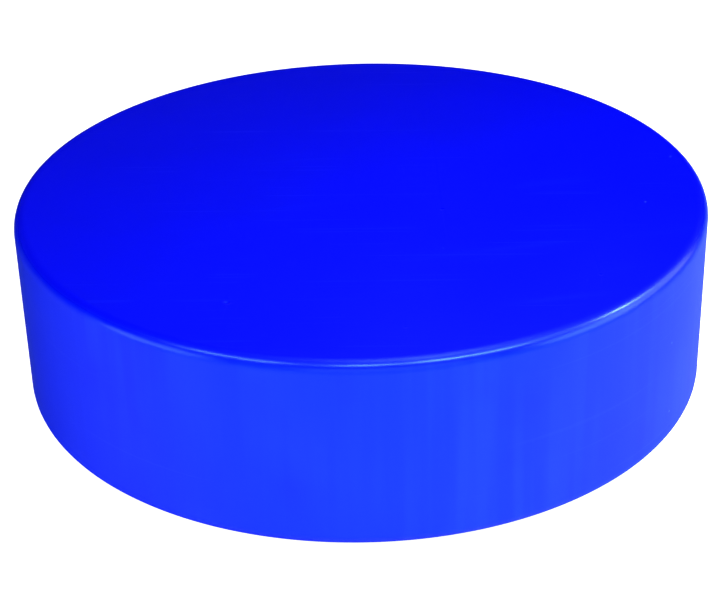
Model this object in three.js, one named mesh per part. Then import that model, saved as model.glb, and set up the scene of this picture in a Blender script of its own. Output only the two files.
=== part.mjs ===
// A hockey puck cut as one solid disc of blue polyethylene: two flat faces, a straight
// wall and a small rounded edge at each end. Millimetres, +Z up. The lower face lies
// on z = 0 and the disc's axis is the Z axis.
import * as THREE from 'three';

const DIAMETER = 76.2; // three inches across
const THICKNESS = 21;
const EDGE_RADIUS = 1.25; // the same round at the upper and the lower edge

const WALL_FLATS = 160; // flats round the wall
const EDGE_FLATS = 6; // flats across each rounded edge

const bluePlastic = new THREE.MeshStandardMaterial({
  color: 0x1023f2,
  roughness: 0.42,
  metalness: 0,
});

// Half of the disc's section, from the axis along the lower face, up the wall and back
// to the axis along the upper face. Path.getPoints gives an arc twice the flats asked for.
function discSection(radius, thickness, edgeRadius, edgeFlats) {
  const edgeCentre = radius - edgeRadius;
  const section = new THREE.Path();
  section.moveTo(0, 0);
  section.lineTo(edgeCentre, 0);
  section.absarc(edgeCentre, edgeRadius, edgeRadius, -Math.PI / 2, 0, false);
  section.lineTo(radius, thickness - edgeRadius);
  section.absarc(edgeCentre, thickness - edgeRadius, edgeRadius, 0, Math.PI / 2, false);
  section.lineTo(0, thickness);
  return section.getPoints(edgeFlats / 2);
}

// The section turned once round. LatheGeometry turns about Y, so the mesh is tipped
// forward to stand its axis on Z.
function makePuck() {
  const section = discSection(DIAMETER / 2, THICKNESS, EDGE_RADIUS, EDGE_FLATS);
  const puck = new THREE.Mesh(new THREE.LatheGeometry(section, WALL_FLATS), bluePlastic);
  puck.name = 'puck';
  puck.rotation.x = Math.PI / 2;
  return puck;
}

const model = new THREE.Group();
model.add(makePuck());

export default model;
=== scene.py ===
"""A hockey puck: one solid disc cut from blue polyethylene sheet, on a pale studio floor.

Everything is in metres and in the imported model's own frame: +Z runs up the disc's axis and
the lower face lies at z = 0. The disc is spun from half of its section, so its two edges are
truly round. The cutter that followed the outline left a fine line at every step, and those
lines are real grooves in the wall and across both rounded edges. The faces are the sheet's
own skin, with a few small dents, and their finer scratches are in the finish.
"""

import logging
import math
from dataclasses import dataclass, field
from enum import Enum
from typing import Union

import bmesh
import bpy
from mathutils import Matrix, Vector


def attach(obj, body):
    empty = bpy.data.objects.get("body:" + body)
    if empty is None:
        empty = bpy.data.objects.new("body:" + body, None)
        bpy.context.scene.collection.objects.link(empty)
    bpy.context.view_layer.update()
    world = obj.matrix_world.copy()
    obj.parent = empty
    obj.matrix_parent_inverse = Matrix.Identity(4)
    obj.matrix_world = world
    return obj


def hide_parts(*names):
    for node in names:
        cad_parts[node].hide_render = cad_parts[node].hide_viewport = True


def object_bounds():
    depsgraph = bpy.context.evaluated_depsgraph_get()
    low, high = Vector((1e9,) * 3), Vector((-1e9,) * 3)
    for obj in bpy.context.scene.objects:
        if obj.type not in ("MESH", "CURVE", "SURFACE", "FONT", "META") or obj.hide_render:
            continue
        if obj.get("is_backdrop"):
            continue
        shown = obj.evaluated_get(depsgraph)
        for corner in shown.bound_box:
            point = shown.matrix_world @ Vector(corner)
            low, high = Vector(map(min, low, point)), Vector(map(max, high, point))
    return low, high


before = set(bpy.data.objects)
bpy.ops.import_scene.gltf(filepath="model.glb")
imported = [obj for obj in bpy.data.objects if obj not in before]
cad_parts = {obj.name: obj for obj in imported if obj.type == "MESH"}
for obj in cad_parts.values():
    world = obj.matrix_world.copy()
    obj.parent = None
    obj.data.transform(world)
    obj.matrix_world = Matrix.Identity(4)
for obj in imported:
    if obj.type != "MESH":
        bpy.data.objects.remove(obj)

LOG = logging.getLogger("hockey_puck")
MM = 0.001
FULL_TURN = 2 * math.pi
CLEARANCE = 0.001 * MM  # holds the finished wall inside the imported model's box

Colour = tuple[float, float, float, float]
Operand = Union["Signal", float]


# ---------------------------------------------------------------- shader building


@dataclass(frozen=True)
class Signal:
    """A number that varies over a surface, as the output socket of a node."""

    finish: "FinishNodes"
    socket: bpy.types.NodeSocket

    def __add__(self, other: Operand) -> "Signal":
        """This signal plus another."""
        return self.finish.maths("ADD", self, other)

    def __radd__(self, other: Operand) -> "Signal":
        """Another signal plus this one."""
        return self.finish.maths("ADD", other, self)

    def __sub__(self, other: Operand) -> "Signal":
        """This signal less another."""
        return self.finish.maths("SUBTRACT", self, other)

    def __rsub__(self, other: Operand) -> "Signal":
        """Another signal less this one."""
        return self.finish.maths("SUBTRACT", other, self)

    def __mul__(self, other: Operand) -> "Signal":
        """This signal times another."""
        return self.finish.maths("MULTIPLY", self, other)

    def __rmul__(self, other: Operand) -> "Signal":
        """Another signal times this one."""
        return self.finish.maths("MULTIPLY", other, self)

    def __abs__(self) -> "Signal":
        """This signal without its sign."""
        return self.finish.maths("ABSOLUTE", self, 0.0)


class FinishNodes:
    """The node tree of one finish or of the room, built by expressions on its signals."""

    def __init__(self, owner: Union[bpy.types.Material, bpy.types.World]) -> None:
        """Starts an empty tree.

        Args:
            owner: The new material or world that the tree belongs to.
        """
        self.owner = owner
        owner.use_nodes = True
        self.tree = owner.node_tree
        self.tree.nodes.clear()

    def node(self, kind: str, settings: dict[str, object], sockets: dict) -> bpy.types.Node:
        """Adds one node.

        Args:
            kind: The node's type, such as ShaderNodeTexNoise.
            settings: The node's own settings, which are set before its sockets.
            sockets: A value or a link for each named or numbered input.

        Returns:
            The new node.
        """
        added = self.tree.nodes.new(kind)
        for setting, choice in settings.items():
            setattr(added, setting, choice)
        for name, given in sockets.items():
            source = given.socket if isinstance(given, Signal) else given
            if isinstance(source, bpy.types.NodeSocket):
                self.tree.links.new(source, added.inputs[name])
            else:
                added.inputs[name].default_value = source
        return added

    def maths(self, operation: str, first: Operand, second: Operand) -> Signal:
        """Joins two numbers by a Math node.

        Args:
            operation: The Math node's operation.
            first: The first operand.
            second: The second operand.

        Returns:
            The result.
        """
        node = self.node("ShaderNodeMath", {"operation": operation}, {0: first, 1: second})
        return Signal(self, node.outputs[0])

    def place(self, stretch: Vector, turn_deg: float = 0.0) -> bpy.types.NodeSocket:
        """Gives the object's own coordinates, stretched to suit a pattern.

        Args:
            stretch: Pattern cells to a metre along X, Y and Z.
            turn_deg: How far the pattern is turned about the disc's axis.

        Returns:
            The coordinate socket.
        """
        where = self.node("ShaderNodeTexCoord", {}, {})
        turned = self.node(
            "ShaderNodeMapping",
            {"vector_type": "TEXTURE"},
            {"Vector": where.outputs["Object"], "Rotation": (0.0, 0.0, math.radians(turn_deg))},
        )
        stretched = self.node(
            "ShaderNodeVectorMath",
            {"operation": "MULTIPLY"},
            {0: turned.outputs[0], 1: stretch},
        )
        return stretched.outputs[0]

    def evenly(self, cell_mm: float) -> bpy.types.NodeSocket:
        """Gives the object's own coordinates for a pattern with cells as long as they are wide."""
        return self.place(Vector.Fill(3, 1.0 / (cell_mm * MM)))

    def parts(self, vector: bpy.types.NodeSocket) -> list[Signal]:
        """Splits a vector.

        Args:
            vector: The vector's socket.

        Returns:
            Its X, Y and Z.
        """
        node = self.node("ShaderNodeSeparateXYZ", {}, {0: vector})
        return [Signal(self, part) for part in node.outputs]

    def slope(self) -> Signal:
        """Gives how nearly the surface lies flat: 0 on the wall and 1 on the faces."""
        where = self.node("ShaderNodeTexCoord", {}, {})
        return abs(self.parts(where.outputs["Normal"])[2])

    def cloud(self, where: bpy.types.NodeSocket, detail: float = 2.0) -> Signal:
        """Makes soft random variation, one blotch to a pattern cell.

        Args:
            where: The pattern's coordinates.
            detail: How many finer octaves are added.

        Returns:
            The variation, about 0.5 on average.
        """
        noise = self.node(
            "ShaderNodeTexNoise", {}, {"Vector": where, "Scale": 1.0, "Detail": detail}
        )
        return Signal(self, noise.outputs[0])

    def specks(self, where: bpy.types.NodeSocket, share: float, radius: float) -> Signal:
        """Scatters small round specks, at most one to a pattern cell.

        Args:
            where: The pattern's coordinates.
            share: The share of the cells that hold a speck.
            radius: A speck's radius, in cells.

        Returns:
            1 on a speck and 0 off it, with a soft edge.
        """
        cells = self.node("ShaderNodeTexVoronoi", {}, {"Vector": where, "Scale": 1.0})
        lottery = self.node("ShaderNodeSeparateColor", {}, {"Color": cells.outputs["Color"]})
        chosen = self.between(Signal(self, lottery.outputs[0]), 1.0 - share, 1.0 - 0.98 * share)
        near = self.between(Signal(self, cells.outputs["Distance"]), radius, 0.5 * radius)
        return chosen * near

    def between(self, signal: Signal, low: float, high: float) -> Signal:
        """Turns a signal into a mask that rises smoothly from 0 at low to 1 at high.

        Args:
            signal: The signal.
            low: Where the mask is 0.
            high: Where the mask is 1, which may be below low.

        Returns:
            The mask.
        """
        node = self.node(
            "ShaderNodeMapRange",
            {"interpolation_type": "SMOOTHSTEP", "clamp": True},
            {"Value": signal, "From Min": low, "From Max": high},
        )
        return Signal(self, node.outputs[0])

    def blend(
        self, share: Signal, plain: Union[Colour, bpy.types.NodeSocket], other: Colour
    ) -> bpy.types.NodeSocket:
        """Mixes two colours.

        Args:
            share: How much of the other colour shows.
            plain: The colour where the share is 0.
            other: The colour where the share is 1.

        Returns:
            The mixed colour's socket.
        """
        node = self.node("ShaderNodeMix", {"data_type": "RGBA"}, {0: share, 6: plain, 7: other})
        return node.outputs[2]

    def bump(self, height: Signal, metres: float) -> bpy.types.NodeSocket:
        """Turns a height signal into a shading normal.

        Args:
            height: The height, where 1 stands for the whole depth.
            metres: The depth.

        Returns:
            The normal's socket.
        """
        node = self.node("ShaderNodeBump", {}, {"Height": height, "Distance": metres})
        return node.outputs[0]


# ---------------------------------------------------------------- finishes


@dataclass(frozen=True)
class Polyethylene:
    """Solid blue polyethylene, which both finishes of the puck share."""

    blue: Colour = (0.0, 0.0, 0.87, 1.0)
    deep_blue: Colour = (0.0, 0.0, 0.80, 1.0)
    rubbed_blue: Colour = (0.004, 0.016, 0.95, 1.0)
    whitened: Colour = (0.06, 0.13, 1.0, 1.0)
    sheen_tint: Colour = (0.27, 0.78, 1.0, 1.0)
    refraction: float = 1.51

    def plastic(
        self,
        nodes: FinishNodes,
        colour: bpy.types.NodeSocket,
        roughness: Signal,
        normal: bpy.types.NodeSocket,
    ) -> bpy.types.Material:
        """Closes a finish with the plastic's own shader.

        Args:
            nodes: The finish's node tree.
            colour: The colour over the surface.
            roughness: The roughness over the surface.
            normal: The shading normal.

        Returns:
            The finished material.
        """
        shader = nodes.node(
            "ShaderNodeBsdfPrincipled",
            {},
            {
                "Base Color": colour,
                "Roughness": roughness,
                "Normal": normal,
                "IOR": self.refraction,
                "Specular Tint": self.sheen_tint,
            },
        )
        nodes.node("ShaderNodeOutputMaterial", {}, {"Surface": shader.outputs[0]})
        return nodes.owner


@dataclass(frozen=True)
class SheetSkin(Polyethylene):
    """The sheet's own skin on the two flat faces: satin, faintly clouded, with long scratches.

    A pattern's run and cells are its cells to a metre.
    """

    name: str = "sheet_skin"
    roughness: float = 0.40
    grain_mm: float = 0.35
    cloud_mm: float = 14.0
    dust_mm: float = 4.5
    scratch_mm: float = 0.5
    scratch_turn_deg: float = -2.0
    scratch_run: float = 18.0
    stray_mm: float = 0.9
    stray_turn_deg: float = 9.0
    break_cells: tuple[float, float, float] = (90.0, 140.0, 90.0)

    def scratches(self, nodes: FinishNodes, spacing_mm: float, turn_deg: float) -> Signal:
        """Draws long, nearly straight hairline scratches, all one way.

        Args:
            nodes: The finish's node tree.
            spacing_mm: The usual distance between two scratches.
            turn_deg: Their turn from the X axis.

        Returns:
            1 in a scratch and 0 beside it.
        """
        long = Vector((self.scratch_run, 1.0 / (spacing_mm * MM), self.scratch_run))
        hairs = nodes.cloud(nodes.place(long, turn_deg), 1.0)
        broken = nodes.cloud(nodes.place(Vector(self.break_cells), turn_deg), 1.0)
        return nodes.between(hairs, 0.64, 0.72) * nodes.between(broken, 0.45, 0.62)

    def material(self) -> bpy.types.Material:
        """Builds the finish.

        Returns:
            The material.
        """
        nodes = FinishNodes(bpy.data.materials.new(self.name))
        blotches = nodes.cloud(nodes.evenly(self.cloud_mm), 3.0)
        grain = nodes.cloud(nodes.evenly(self.grain_mm), 2.0)
        hairlines = self.scratches(nodes, self.scratch_mm, self.scratch_turn_deg)
        stray = self.scratches(nodes, self.stray_mm, self.stray_turn_deg)
        dust = nodes.specks(nodes.evenly(self.dust_mm), 0.30, 0.035)
        colour = nodes.blend(0.5 * nodes.between(blotches, 0.35, 0.75), self.blue, self.deep_blue)
        colour = nodes.blend(0.30 * hairlines + 0.15 * stray, colour, self.rubbed_blue)
        colour = nodes.blend(0.55 * dust, colour, self.whitened)
        roughness = self.roughness + 0.06 * (blotches - 0.5) - 0.08 * hairlines + 0.05 * grain
        height = 0.30 * grain - 0.25 * hairlines - 0.15 * stray
        return self.plastic(nodes, colour, roughness, nodes.bump(height, 0.006 * MM))


@dataclass(frozen=True)
class CutWall(Polyethylene):
    """The cut surface of the wall and the rounded edges, streaked by the cutter along the axis.

    A pattern's run and cells are its cells to a metre. The rubbed stretch, right of the
    axis, begins, is full, begins to fade and ends at the four distances.
    """

    name: str = "cut_wall"
    blue: Colour = (0.0, 0.013, 0.87, 1.0)
    rubbed_blue: Colour = (0.006, 0.034, 0.95, 1.0)
    roughness: float = 0.26
    streak_mm: float = 1.6
    fine_streak_mm: float = 0.28
    streak_run: float = 25.0
    cloud_mm: float = 9.0
    dust_mm: float = 4.0
    hoop_cells: tuple[float, float, float] = (25.0, 25.0, 2600.0)
    patch_cells: tuple[float, float, float] = (70.0, 70.0, 60.0)
    rubbed_mm: tuple[float, float, float, float] = (1.0, 5.0, 9.0, 15.0)

    def streaks(self, nodes: FinishNodes, width_mm: float, detail: float) -> Signal:
        """Draws streaks that run straight up the wall.

        Args:
            nodes: The finish's node tree.
            width_mm: A streak's usual width.
            detail: How many finer octaves are added.

        Returns:
            The streaks, about 0.5 on average.
        """
        around = 1.0 / (width_mm * MM)
        return nodes.cloud(nodes.place(Vector((around, around, self.streak_run))), detail)

    def material(self) -> bpy.types.Material:
        """Builds the finish.

        Returns:
            The material.
        """
        nodes = FinishNodes(bpy.data.materials.new(self.name))
        broad = self.streaks(nodes, self.streak_mm, 1.0)
        fine = self.streaks(nodes, self.fine_streak_mm, 1.0)
        where_streaked = nodes.cloud(nodes.place(Vector(self.patch_cells)), 1.0)
        right = nodes.parts(nodes.evenly(1.0))[0]
        start, full, fade, end = self.rubbed_mm
        rubbed = nodes.between(right, start, full) * nodes.between(right, end, fade)
        showing = nodes.between(where_streaked + 0.25 * rubbed, 0.36, 0.70)
        blotches = nodes.cloud(nodes.evenly(self.cloud_mm), 2.0)
        hoops = nodes.cloud(nodes.place(Vector(self.hoop_cells)), 1.0)
        hoop_marks = nodes.between(hoops, 0.68, 0.74)
        dust = nodes.specks(nodes.evenly(self.dust_mm), 0.25, 0.04)
        pale_streaks = nodes.between(broad, 0.36, 0.64) * showing
        slope = nodes.slope()
        colour = nodes.blend(0.36 * pale_streaks + 0.10 * fine, self.blue, self.rubbed_blue)
        colour = nodes.blend(nodes.between(slope, 0.15, 1.0), colour, Polyethylene.blue)
        colour = nodes.blend(0.25 * nodes.between(blotches, 0.5, 0.8), colour, self.deep_blue)
        colour = nodes.blend(0.5 * dust + 0.04 * hoop_marks, colour, self.whitened)
        roughness = self.roughness + 0.025 * (broad - 0.5) * showing + 0.010 * (fine - 0.5)
        duller = SheetSkin.roughness - self.roughness
        roughness = roughness + duller * nodes.between(slope, 0.74, 1.0)
        height = 0.05 * broad * showing + 0.03 * fine - 0.03 * hoop_marks
        return self.plastic(nodes, colour, roughness, nodes.bump(height, 0.008 * MM))


@dataclass(frozen=True)
class PaleFloor:
    """The studio's pale matt floor."""

    name: str = "pale_floor"
    white: Colour = (0.80, 0.80, 0.80, 1.0)
    off_white: Colour = (0.77, 0.77, 0.78, 1.0)
    own_light: float = 1.35
    mottle_mm: float = 1000.0 / 30.0

    def material(self) -> bpy.types.Material:
        """Builds the finish.

        Returns:
            The material.
        """
        nodes = FinishNodes(bpy.data.materials.new(self.name))
        mottle = nodes.cloud(nodes.evenly(self.mottle_mm), 3.0)
        shader = nodes.node(
            "ShaderNodeBsdfPrincipled",
            {},
            {
                "Base Color": nodes.blend(mottle, self.white, self.off_white),
                "Roughness": 0.9,
                "Emission Color": self.white,
                "Emission Strength": self.own_light,
            },
        )
        nodes.node("ShaderNodeOutputMaterial", {}, {"Surface": shader.outputs[0]})
        return nodes.owner


# ---------------------------------------------------------------- the puck


class Zone(Enum):
    """Which finish a stretch of the disc's surface takes, by its material slot."""

    SKIN = 0
    CUT = 1


@dataclass(frozen=True)
class Dent:
    """A small round dent in the upper face."""

    right: float
    back: float
    radius: float
    depth: float

    def sink(self, point: Vector) -> float:
        """Works out how far the face is pressed in at a point.

        Args:
            point: A point of the upper face.

        Returns:
            The depth there, in metres.
        """
        away = math.hypot(point.x - self.right, point.y - self.back) / self.radius
        return self.depth * math.cos(0.5 * math.pi * min(away, 1.0)) ** 2


@dataclass
class Puck:
    """The solid disc, spun from its half section, grooved by the cutter and dented by use."""

    radius: float
    thickness: float
    edge_radius: float = 1.25 * MM
    edge_flats: int = 7
    sector_steps: int = 60
    flats_per_step: int = 4
    doublings: int = 4
    groove_depth: float = 0.003 * MM
    edge_groove_depth: float = 0.010 * MM
    wave_depth: float = 0.003 * MM
    margin: float = 0.15 * MM
    dent_cuts: int = 13
    dents: tuple[Dent, ...] = (
        Dent(-13.5 * MM, -25.5 * MM, 0.50 * MM, 0.12 * MM),
        Dent(24.0 * MM, -21.6 * MM, 0.30 * MM, 0.05 * MM),
        Dent(4.0 * MM, -31.3 * MM, 0.28 * MM, 0.04 * MM),
        Dent(8.8 * MM, -5.8 * MM, 0.32 * MM, 0.05 * MM),
    )
    mesh: bmesh.types.BMesh = field(default_factory=bmesh.new)

    @property
    def cutter_steps(self) -> int:
        """How many steps the cutter took round the disc."""
        return self.sector_steps * 2**self.doublings

    def draw_half_section(self) -> None:
        """Draws the section's outer line, from the lower face round the wall to the upper."""
        inner = self.radius - self.edge_radius - self.margin
        corners = [
            (inner, 0.0, 0.0),
            (self.radius, 0.0, 0.0),
            (self.radius, 0.0, self.thickness),
            (inner, 0.0, self.thickness),
        ]
        points = [self.mesh.verts.new(corner) for corner in corners]
        for start, end in zip(points, points[1:]):
            self.mesh.edges.new((start, end))
        bmesh.ops.bevel(
            self.mesh,
            geom=points[1:3],
            offset=self.edge_radius,
            offset_type="OFFSET",
            segments=self.edge_flats,
            profile=0.5,
            affect="VERTICES",
            material=-1,
        )
        straight = self.edge_radius + self.margin
        for height in (straight, self.thickness - straight):
            bmesh.ops.bisect_plane(
                self.mesh,
                geom=self.mesh.verts[:] + self.mesh.edges[:],
                plane_co=(0.0, 0.0, height),
                plane_no=(0.0, 0.0, 1.0),
            )

    def spin_section(self) -> None:
        """Turns the section through one sector, then doubles the sector until it closes."""
        sweep = FULL_TURN / 2**self.doublings
        bmesh.ops.spin(
            self.mesh,
            geom=self.mesh.verts[:] + self.mesh.edges[:],
            cent=(0.0, 0.0, 0.0),
            axis=(0.0, 0.0, 1.0),
            angle=sweep,
            steps=self.sector_steps * self.flats_per_step,
            use_merge=False,
            use_duplicate=False,
        )
        for _ in range(self.doublings):
            everything = self.mesh.verts[:] + self.mesh.edges[:] + self.mesh.faces[:]
            copied = bmesh.ops.duplicate(self.mesh, geom=everything)["geom"]
            bmesh.ops.rotate(
                self.mesh,
                cent=(0.0, 0.0, 0.0),
                matrix=Matrix.Rotation(sweep, 3, "Z"),
                verts=[part for part in copied if isinstance(part, bmesh.types.BMVert)],
            )
            sweep *= 2
        bmesh.ops.remove_doubles(self.mesh, verts=self.mesh.verts[:], dist=0.002 * MM)

    def groove(self, turn: float, height: float) -> float:
        """Works out how far the cutter went in at a place on the wall or a rounded edge.

        Args:
            turn: The angle round the axis, in radians.
            height: The height above the lower face.

        Returns:
            The depth below the true radius, in metres.
        """
        to_end = min(height, self.thickness - height)
        lean = 1.0 - min(to_end / self.edge_radius, 1.0)
        deepest = self.groove_depth + lean * (self.edge_groove_depth - self.groove_depth)
        # The chatter makes the lines stronger and weaker in turn, and the waves are wider than
        # the lines and show on some stretches only.
        ridge = 0.5 - 0.5 * math.cos(self.cutter_steps * turn)
        chatter = 0.55 + 0.25 * math.sin(9 * turn + 1.0) + 0.20 * math.sin(23 * turn + 0.3)
        wave = 0.5 + 0.2 * math.sin(61 * turn) + 0.2 * math.sin(97 * turn + 2.0)
        shown = 0.5 + 0.5 * math.sin(5 * turn + 2.6)
        return deepest * ridge * chatter + self.wave_depth * wave * shown

    def cut_grooves(self) -> None:
        """Moves every column of the wall and the edges in by the cutter's depth there."""
        rounded = self.radius - self.edge_radius + 0.01 * MM
        for point in self.mesh.verts:
            reach = point.co.xy.length
            if reach > rounded:
                depth = self.groove(math.atan2(point.co.y, point.co.x), point.co.z)
                point.co.xy *= 1 - depth / reach

    def close_face(self, height: float) -> bmesh.types.BMFace:
        """Closes the opening at one end of the disc.

        Args:
            height: The height of the opening.

        Returns:
            The new flat face.
        """
        rim = [
            edge
            for edge in self.mesh.edges
            if edge.is_boundary and all(abs(end.co.z - height) < 0.01 * MM for end in edge.verts)
        ]
        return bmesh.ops.contextual_create(self.mesh, geom=rim)["faces"][0]

    def press_dents(self, face: bmesh.types.BMFace) -> None:
        """Cuts a small square out of the face round each dent and presses its middle in.

        Args:
            face: The upper face.
        """
        flat = [face]
        for dent in self.dents:
            for side in (-1, 1):
                for line in (Vector((side, 0.0, 0.0)), Vector((0.0, side, 0.0))):
                    middle = Vector((dent.right, dent.back, self.thickness))
                    border = {edge for part in flat for edge in part.edges}
                    corners = {corner for part in flat for corner in part.verts}
                    cut = bmesh.ops.bisect_plane(
                        self.mesh,
                        geom=flat + list(border) + list(corners),
                        plane_co=middle + line * dent.radius,
                        plane_no=line,
                    )
                    flat = [part for part in cut["geom"] if isinstance(part, bmesh.types.BMFace)]
        for dent in self.dents:
            middle = Vector((dent.right, dent.back, self.thickness))
            square = min(flat, key=lambda part: (part.calc_center_median() - middle).length)
            grid = bmesh.ops.subdivide_edges(
                self.mesh, edges=square.edges[:], cuts=self.dent_cuts, use_grid_fill=True
            )
            for point in grid["geom_inner"]:
                if isinstance(point, bmesh.types.BMVert):
                    point.co.z -= dent.sink(point.co)

    def dress(self, piece: bpy.types.Object) -> None:
        """Gives the skin and the cut surface their finishes.

        Args:
            piece: The disc's object.
        """
        piece.data.materials.append(SheetSkin().material())
        piece.data.materials.append(CutWall().material())
        inner = self.radius - self.edge_radius
        for polygon in piece.data.polygons:
            on_face = math.hypot(polygon.center.x, polygon.center.y) < inner
            polygon.material_index = (Zone.SKIN if on_face else Zone.CUT).value
            polygon.use_smooth = True

    def build(self) -> bpy.types.Object:
        """Makes the disc.

        Returns:
            The finished piece.
        """
        self.draw_half_section()
        self.spin_section()
        self.close_face(0.0)
        self.press_dents(self.close_face(self.thickness))
        self.cut_grooves()
        bmesh.ops.recalc_face_normals(self.mesh, faces=self.mesh.faces[:])
        data = bpy.data.meshes.new("puck_disc")
        self.mesh.to_mesh(data)
        self.mesh.free()
        piece = bpy.data.objects.new("puck_disc", data)
        bpy.context.scene.collection.objects.link(piece)
        self.dress(piece)
        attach(piece, "root")
        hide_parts("puck")
        return piece


# ---------------------------------------------------------------- the studio


@dataclass(frozen=True)
class Softbox:
    """One soft rectangular light aimed at the puck's middle, with sizes in puck diameters."""

    name: str
    place: tuple[float, float, float]
    width: float
    height: float
    radiance: float
    mirrored: bool = True

    def hang(self, middle: Vector, unit: float) -> bpy.types.Object:
        """Hangs the light.

        Args:
            middle: The puck's middle.
            unit: The puck's diameter.

        Returns:
            The light's object.
        """
        lamp = bpy.data.lights.new(self.name, "AREA")
        lamp.shape = "RECTANGLE"
        lamp.size = self.width * unit
        lamp.size_y = self.height * unit
        lamp.energy = self.radiance * math.pi * lamp.size * lamp.size_y
        holder = bpy.data.objects.new(self.name, lamp)
        holder.location = middle + unit * Vector(self.place)
        towards = middle - holder.location
        holder.rotation_euler = towards.to_track_quat("-Z", "Y").to_euler()
        holder.visible_camera = False
        holder.visible_glossy = self.mirrored
        bpy.context.scene.collection.objects.link(holder)
        return holder


@dataclass(frozen=True)
class Room:
    """The room round the studio: white to look at, and dim in reflections."""

    seen_light: float = 1.1
    lower_sheen: float = 0.48
    white: Colour = (1.0, 1.0, 1.0, 1.0)
    sheen_colour: Colour = (0.62, 1.0, 1.0, 1.0)

    def build(self) -> None:
        """Makes the room the scene's world."""
        nodes = FinishNodes(bpy.data.worlds.new("studio_room"))
        where = nodes.node("ShaderNodeTexCoord", {}, {})
        right, _, up = nodes.parts(where.outputs["Generated"])
        rays = nodes.node("ShaderNodeLightPath", {}, {})
        seen = Signal(nodes, rays.outputs["Is Camera Ray"])
        sheen = self.lower_sheen * nodes.between(up, 0.05, -0.30) * nodes.between(right, -0.7, 1.1)
        strength = seen * self.seen_light + (1 - seen) * sheen
        colour = nodes.blend(seen, self.sheen_colour, self.white)
        light = nodes.node("ShaderNodeBackground", {}, {"Color": colour, "Strength": strength})
        nodes.node("ShaderNodeOutputWorld", {}, {"Surface": light.outputs[0]})
        bpy.context.scene.world = nodes.owner


@dataclass
class Studio:
    """The pale floor and the soft lights."""

    middle: Vector
    unit: float
    floor_radius: float = 40.0
    floor_drop: float = 0.02 * MM
    softboxes: tuple[Softbox, ...] = (
        Softbox("left_key", (-1.18, -0.90, 1.58), 0.30, 0.30, 15.0),
        Softbox("left_middle_key", (-0.88, -1.19, 1.74), 0.30, 0.30, 20.0),
        Softbox("middle_key", (0.00, -1.44, 1.90), 0.30, 0.30, 36.0),
        Softbox("right_middle_key", (0.70, -1.31, 1.87), 0.30, 0.30, 52.0),
        Softbox("right_key", (1.15, -1.09, 1.78), 0.30, 0.30, 32.0),
        Softbox("side_key", (1.61, -0.14, 1.12), 0.20, 0.20, 76.0),
        Softbox("right_wall_fill", (2.40, -1.00, 0.70), 1.60, 1.20, 3.8),
        Softbox("left_wall_fill", (-2.20, -1.20, 0.60), 1.40, 1.00, 2.6),
        Softbox("front_wall_fill", (0.30, -2.60, 0.80), 2.40, 1.20, 1.1),
        Softbox("right_fill", (1.30, 0.00, 0.50), 0.80, 0.60, 2.0),
        Softbox("upper_right_fill", (0.80, -0.50, 0.90), 0.50, 0.50, 1.6),
        Softbox("back_fill", (-0.60, 2.60, 0.80), 2.40, 1.00, 0.6, mirrored=False),
        Softbox("overhead_fill", (0.20, -0.20, 1.10), 0.50, 0.50, 4.0),
    )

    def lay_floor(self) -> bpy.types.Object:
        """Lays the floor just under the puck.

        Returns:
            The floor's object.
        """
        mesh = bmesh.new()
        bmesh.ops.create_circle(
            mesh,
            cap_ends=True,
            segments=96,
            radius=self.floor_radius * self.unit,
            matrix=Matrix.Translation((0.0, 0.0, -self.floor_drop)),
        )
        data = bpy.data.meshes.new("studio_floor")
        mesh.to_mesh(data)
        mesh.free()
        data.materials.append(PaleFloor().material())
        floor = bpy.data.objects.new("studio_floor", data)
        floor.visible_glossy = False
        bpy.context.scene.collection.objects.link(floor)
        floor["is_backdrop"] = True
        return floor

    def build(self) -> None:
        """Sets up the whole studio."""
        self.lay_floor()
        for softbox in self.softboxes:
            softbox.hang(self.middle, self.unit)
        Room().build()
        bpy.context.scene.view_settings.view_transform = "Standard"


@dataclass(frozen=True)
class StudioCamera:
    """The camera, in front of the puck and looking down on it, placed in puck diameters."""

    distance: float = 2.795
    aside: float = -0.0043
    elevation_deg: float = 28.01
    tilt_deg: float = 28.87
    roll_deg: float = -1.46
    lens_mm: float = 93.8

    def build(self, middle: Vector, unit: float) -> bpy.types.Object:
        """Sets the camera up and makes it the scene's.

        Args:
            middle: The puck's middle.
            unit: The puck's diameter.

        Returns:
            The camera's object.
        """
        lens = bpy.data.cameras.new("studio_camera")
        lens.lens = self.lens_mm
        lens.clip_start = 0.01
        camera = bpy.data.objects.new("studio_camera", lens)
        rise = math.radians(self.elevation_deg)
        away = Vector((0.0, -math.cos(rise), math.sin(rise)))
        upright = Matrix.Rotation(math.radians(90.0 - self.tilt_deg), 4, "X")
        rolled = Matrix.Rotation(math.radians(self.roll_deg), 4, "Z")
        offset = away * self.distance + Vector((self.aside, 0.0, 0.0))
        place = Matrix.Translation(middle + offset * unit)
        camera.matrix_world = place @ upright @ rolled
        bpy.context.scene.collection.objects.link(camera)
        bpy.context.scene.camera = camera
        return camera


def main() -> None:
    """Builds the camera, the puck and the studio, in that order."""
    logging.basicConfig(level=logging.INFO, format="%(name)s: %(message)s")
    packed = [corner.copy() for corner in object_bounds()]
    low, high = packed
    middle = (low + high) / 2
    diameter = high.x - low.x
    camera = StudioCamera()
    camera.build(middle, diameter)
    LOG.info("camera: %.0f mm from the puck's middle", camera.distance * diameter / MM)
    disc = Puck(radius=diameter / 2 - CLEARANCE, thickness=high.z - low.z).build()
    LOG.info("%s: %d faces", disc.name, len(disc.data.polygons))
    Studio(middle, diameter).build()
    LOG.info("studio: floor, room and softboxes")


if __name__ == "__main__":
    main()
